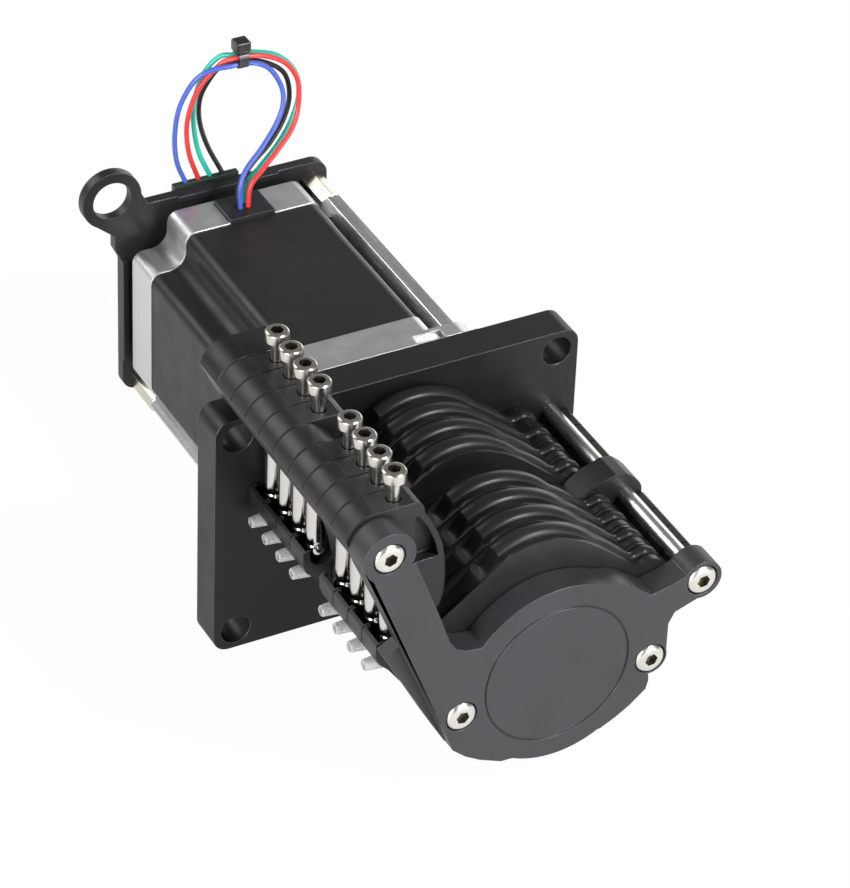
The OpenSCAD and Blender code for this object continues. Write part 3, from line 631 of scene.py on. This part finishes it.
class PUMP_OT_pan_screws(bpy.types.Operator):
    """Makes the low-headed screws of the cover and the rear bracket"""
    bl_idname = "pump.pan_screws"
    bl_label = "Cover screws"

    def execute(self, context):
        whole = bmesh.new()
        spots = [(PIVOT, 20), (ROD, 65), (TIES[0], 8), (TIES[1], 50)]
        for (x, z), turn in spots:
            place = along_y(x, COVER_SEAT_Y, z) @ Matrix.Rotation(math.radians(turn), 4, "Z")
            join_bmesh(whole, socket_screw(BUTTON_SCREW, 2.9, 1.6, place))
        for side in (-1, 1):
            place = along_y(side * MOTOR_HOLE, BRACKET_SEAT_Y, side * MOTOR_HOLE, True)
            join_bmesh(whole, socket_screw(BUTTON_SCREW, 2.9, 1.6, place))
        obj = link_mesh("pan_head_screws_turned", whole, "bright_screws", SCREW_ANGLE)
        # The sockets take the dark material, painted shade in the recesses
        obj.data.materials.append(MATERIALS["socket_painted_shade"])
        mount_piece(obj, "base", "zinc_screws", "pan_head_screws")
        return {"FINISHED"}


class PUMP_OT_rods(bpy.types.Operator):
    """Gives the rods and the rotor their metal finishes"""
    bl_idname = "pump.rods"
    bl_label = "Rods and rotor"

    def execute(self, context):
        plain = {"lever_shaft": "ground_steel", "hook_rod": "ground_steel", "tie_rods": "ground_steel",
                 "motor_shaft": "ground_steel", "rotor_bearings": "bronze_bush",
                 "roller_carrier": "carrier_aluminium", "tubes": "tube_rubber"}
        plain.update({"roller_%d" % k: "chrome_steel" for k in ROLLERS})
        for node, material in plain.items():
            mesh = bpy.data.objects[node].data
            mesh.materials.clear()
            mesh.materials.append(MATERIALS[material])
        return {"FINISHED"}


class PUMP_OT_nozzles(bpy.types.Operator):
    """Makes the eight stepped tube nozzles"""
    bl_idname = "pump.nozzles"
    bl_label = "Nozzles"

    def execute(self, context):
        whole = bmesh.new()
        profile = [(0.8, -7.4), (1.8, -7.4), (1.8, 0.0), (1.72, 0.45), (1.4, 3.7), (1.3, 4.0),
                   (1.15, 4.1), (0.92, 4.1), (0.8, 3.95), (0.8, -7.4)]
        for k in CHANNELS:
            place = along_minus_x(NOZZLE[0], channel_y(k), NOZZLE[1])
            join_bmesh(whole, revolved([(r * MM, h * MM) for r, h in profile], 32, place))
        obj = link_mesh("nozzles_turned", whole, "clear_plastic")
        mount_piece(obj, "base", "clear_plastic", "nozzles")
        return {"FINISHED"}


class PUMP_OT_motor(bpy.types.Operator):
    """Finishes the motor's caps, stator and standoffs"""
    bl_idname = "pump.motor"
    bl_label = "Motor"

    def execute(self, context):
        dressed_node("motor_front_cap", "blasted_aluminium", 0.0004)
        dressed_node("motor_rear_cap", "blasted_aluminium", 0.0005, 3)
        dressed_node("motor_stator", "black_laminations", 0.0002, 1)
        bm = node_copy("standoffs")
        soften(bm, 0.0003)
        obj = link_mesh("standoffs_finished", bm, "zinc_bar")
        obj.data.materials.append(MATERIALS["zinc_bar"])
        obj.data.materials.append(MATERIALS["nickel_bar"])
        for poly in obj.data.polygons:
            if poly.center.y > NICKEL_FROM_Y * MM:
                poly.material_index = 2
        mount_piece(obj, "base", "zinc_screws", "standoffs")
        dressed_node("terminal_board", "green_board", 0.0001, 1)
        return {"FINISHED"}


# Points on each lead's middle line, in millimetres in the frame
LEADS = {
    "blue": [(2.4, 91.4, 24.2), (2.4, 91.8, 30.6), (4.4, 93, 34.9), (9.4, 94.4, 39.3), (14, 96, 44),
             (16.4, 97, 48.4), (16.6, 98, 53.1), (14, 98.8, 58.4), (10.4, 99, 61.2), (6.2, 99, 62.3),
             (3, 99, 62.3), (-1.6, 100, 61.8), (-5.2, 101, 59.8), (-7.8, 102, 55.5), (-9.6, 103, 49.6),
             (-9.9, 104.2, 41.1), (-8.6, 105.4, 33.2), (-6.1, 106, 26.8)],
    "red": [(4.4, 91.4, 24.2), (5.2, 91.8, 30.6), (8.8, 92.4, 34.3), (13.2, 93.2, 38.3),
            (17.8, 94.6, 42.6), (20.2, 96, 47.5), (20.5, 97, 54.8), (17.4, 98, 60.2),
            (11.6, 98.6, 63.4), (6.2, 99, 64.2), (4.4, 99.3, 64.1), (1.9, 100.8, 62.9),
            (0, 101.5, 60.9), (-3.2, 102.4, 57), (-5.6, 103.2, 51.3), (-6.6, 104.2, 43.8),
            (-5.3, 105.4, 35), (-2.5, 106, 26.8)],
    "green": [(4.4, 93.6, 24.2), (5.4, 94, 30.2), (9.6, 94.8, 34), (14.8, 96, 38.4), (19.2, 97.8, 43),
              (21.8, 99, 49.4), (21, 100, 56), (16, 100.8, 61.4), (7.8, 100.8, 64.2),
              (4.4, 100.9, 64.2), (1.6, 102.8, 63.3), (-1.6, 104, 59.4), (-3.4, 104.9, 54),
              (-4.1, 105.6, 48.1), (-3.6, 106, 40.8), (-2, 106.4, 33.6), (0.8, 106.2, 26.8)],
    "black": [(2.4, 93.6, 24.2), (3.2, 94, 30.4), (7.4, 95.4, 34.8), (12.4, 96.4, 38.6),
              (17, 98, 43.4), (19.4, 99.4, 49.1), (18.6, 100.4, 55.2), (14.4, 100.8, 59.2),
              (7.8, 100.8, 62.2), (4.4, 100.9, 62.3), (2.2, 103.2, 60.2), (0, 105.4, 55.4),
              (-1.8, 106.6, 50), (-1.6, 107.4, 43), (0.6, 107.4, 35), (4.2, 106.2, 26.8)],
}


class PUMP_OT_leads(bpy.types.Operator):
    """Runs the four motor leads through their tie to the terminal board"""
    bl_idname = "pump.leads"
    bl_label = "Leads"

    def execute(self, context):
        tie = self.tie()
        for color, points in LEADS.items():
            route = smooth_route(points)
            curve = bpy.data.curves.new(color + "_lead_curve", "CURVE")
            curve.dimensions = "3D"
            curve.bevel_depth = LEAD_DIAMETER * MM / 2
            curve.bevel_resolution = 4
            curve.use_fill_caps = True
            spline = curve.splines.new("POLY")
            spline.points.add(len(route) - 1)
            for point, place in zip(spline.points, route):
                point.co = (*place, 1.0)
            spline.use_smooth = True
            curve.materials.append(MATERIALS[color + "_insulation"])
            obj = bpy.data.objects.new(color + "_lead_run", curve)
            bpy.context.scene.collection.objects.link(obj)
            mount_piece(obj, "base", color + "_insulation", color + "_lead")
        return {"FINISHED"}

    def block(self, middle, size):
        """A square block from its middle and size in millimetres."""
        bm = bmesh.new()
        bmesh.ops.create_cube(bm, size=1.0, matrix=Matrix.Translation(Vector(middle) * MM)
                              @ Matrix.Diagonal((*(Vector(size) * MM), 1.0)))
        return bm

    def tie(self):
        """The tie's band round the leads, with its square head on top."""
        bm = self.block((TIE_X, TIE_Y, TIE_Z), (2.6, 4.2, 4.4))
        lengthways = [e for e in bm.edges if abs((e.verts[0].co - e.verts[1].co).x) > 1e-5]
        bmesh.ops.bevel(bm, geom=lengthways, offset=1.5 * MM, affect="EDGES", segments=5,
                        profile=0.5, material=-1)
        head = self.block((TIE_X, TIE_Y, TIE_HEAD_Z), (4.0, 3.8, 3.2))
        bmesh.ops.bevel(head, geom=head.edges[:], offset=0.5 * MM, affect="EDGES", segments=3,
                        profile=0.5, material=-1)
        join_bmesh(bm, head)
        obj = link_mesh("cable_tie_moulded", bm, "black_insulation")
        mount_piece(obj, "base", "black_insulation", "cable_tie")
        return obj


class PUMP_OT_stage(bpy.types.Operator):
    """Sets the camera, the floor and the studio lights"""
    bl_idname = "pump.stage"
    bl_label = "Stage"

    def execute(self, context):
        scene = context.scene
        self.camera(scene)
        self.floor(scene)
        scene.world = self.studio_world()
        self.lamp("key", (-1.4, -0.8, 0.5), 0.8, 32.0)
        self.lamp("front", (0.55, -1.45, 0.4), 0.8, 17.0)
        self.lamp("edge", (0.66, -1.05, 1.25), 0.35, 26.0)
        self.lamp("rear", (-0.75, 1.1, 0.85), 0.8, 9.0)
        self.lamp("side", (1.1, 1.0, 0.15), 1.0, 6.0)
        scene.view_settings.view_transform = "Standard"
        return {"FINISHED"}

    def camera(self, scene):
        """The photograph's own camera, solved from the edges of the motor and the plate."""
        data = bpy.data.cameras.new("photo_camera")
        data.sensor_fit = "VERTICAL"
        data.sensor_height = 36.0
        data.lens = 183.536
        data.clip_end = 20.0
        cam = bpy.data.objects.new("photo_camera", data)
        cam.location = (-0.41323, -0.76074, 0.64883)
        cam.rotation_euler = (0.937658, -0.034216, -0.479926)
        scene.collection.objects.link(cam)
        scene.camera = cam

    def floor(self, scene):
        """A pale floor that camera and polished metal see lighter than it is lit."""
        bm = bmesh.new()
        bmesh.ops.create_grid(bm, x_segments=1, y_segments=1, size=4.0,
                              matrix=Matrix.Translation((0, 0, CAD_BOX[0][2] - 0.0005)))
        mesh = bpy.data.meshes.new("floor")
        bm.to_mesh(mesh)
        bm.free()
        floor = bpy.data.objects.new("floor", mesh)
        scene.collection.objects.link(floor)
        mat, tree, shader = new_material("pale_floor", (0.9, 0.9, 0.9), 0.6)
        path = tree.nodes.new("ShaderNodeLightPath")
        white = tree.nodes.new("ShaderNodeEmission")
        white.inputs["Strength"].default_value = 1.0
        mixer = tree.nodes.new("ShaderNodeMixShader")
        by_camera = self.maths(tree, "MULTIPLY", path.outputs["Is Camera Ray"], 0.96)
        by_glossy = self.maths(tree, "MULTIPLY", path.outputs["Is Glossy Ray"], 0.45)
        tree.links.new(self.maths(tree, "MAXIMUM", by_camera, by_glossy), mixer.inputs["Fac"])
        tree.links.new(shader.outputs["BSDF"], mixer.inputs[1])
        tree.links.new(white.outputs["Emission"], mixer.inputs[2])
        tree.links.new(mixer.outputs["Shader"], tree.nodes["Material Output"].inputs["Surface"])
        mesh.materials.append(mat)

    def studio_world(self):
        """A dim ceiling that polished metal sees brighter and the camera sees white."""
        world = bpy.data.worlds.new("studio")
        world.use_nodes = True
        tree = world.node_tree
        background = tree.nodes["Background"]
        background.inputs["Color"].default_value = (1, 1, 1, 1)
        path = tree.nodes.new("ShaderNodeLightPath")
        glossy = self.maths(tree, "MULTIPLY", path.outputs["Is Glossy Ray"], 0.22)
        lit = self.maths(tree, "MAXIMUM", glossy, 0.16)
        seen = self.maths(tree, "MAXIMUM", lit, path.outputs["Is Camera Ray"])
        tree.links.new(seen, background.inputs["Strength"])
        return world

    def maths(self, tree, operation, first, second):
        """A maths node of a linked value and another value, linked or plain."""
        node = tree.nodes.new("ShaderNodeMath")
        node.operation = operation
        tree.links.new(first, node.inputs[0])
        if isinstance(second, float):
            node.inputs[1].default_value = second
        else:
            tree.links.new(second, node.inputs[1])
        return node.outputs["Value"]

    def lamp(self, name, place, size, power):
        """A square lamp aimed at the middle of the pump."""
        data = bpy.data.lights.new(name, "AREA")
        data.size = size
        data.energy = power
        lamp = bpy.data.objects.new(name, data)
        lamp.location = place
        lamp.rotation_euler = (Vector((0, 0.02, 0)) - Vector(place)).to_track_quat("-Z", "Y").to_euler()
        bpy.context.scene.collection.objects.link(lamp)


class PUMP_PT_panel(bpy.types.Panel):
    """Lists the pump's pieces"""
    bl_label = "Pump"
    bl_idname = "PUMP_PT_panel"
    bl_space_type = "VIEW_3D"
    bl_region_type = "UI"
    bl_category = "Pump"

    def draw(self, context):
        look = context.scene.pump_look
        for name in ("moulding", "moulding_roughness", "edge_round"):
            self.layout.prop(look, name)
        for op in OPERATORS:
            self.layout.operator(op.bl_idname)


OPERATORS = (PUMP_OT_stage, PUMP_OT_leads, PUMP_OT_mouldings, PUMP_OT_levers, PUMP_OT_tracks,
             PUMP_OT_plungers, PUMP_OT_adjusters, PUMP_OT_pan_screws, PUMP_OT_rods,
             PUMP_OT_nozzles, PUMP_OT_motor)
CLASSES = (PumpLook, *OPERATORS, PUMP_PT_panel)


def register():
    for cls in CLASSES:
        bpy.utils.register_class(cls)
    bpy.types.Scene.pump_look = bpy.props.PointerProperty(type=PumpLook)


def unregister():
    del bpy.types.Scene.pump_look
    for cls in reversed(CLASSES):
        bpy.utils.unregister_class(cls)


def main():
    register()
    make_materials(bpy.context.scene.pump_look)
    bpy.ops.pump.stage()
    bpy.ops.pump.leads()
    bpy.ops.pump.mouldings()
    bpy.ops.pump.levers()
    bpy.ops.pump.tracks()
    bpy.ops.pump.plungers()
    bpy.ops.pump.adjusters()
    bpy.ops.pump.pan_screws()
    bpy.ops.pump.rods()
    bpy.ops.pump.nozzles()
    bpy.ops.pump.motor()
    bpy.context.view_layer.update()


if __name__ == "__main__":
    main()
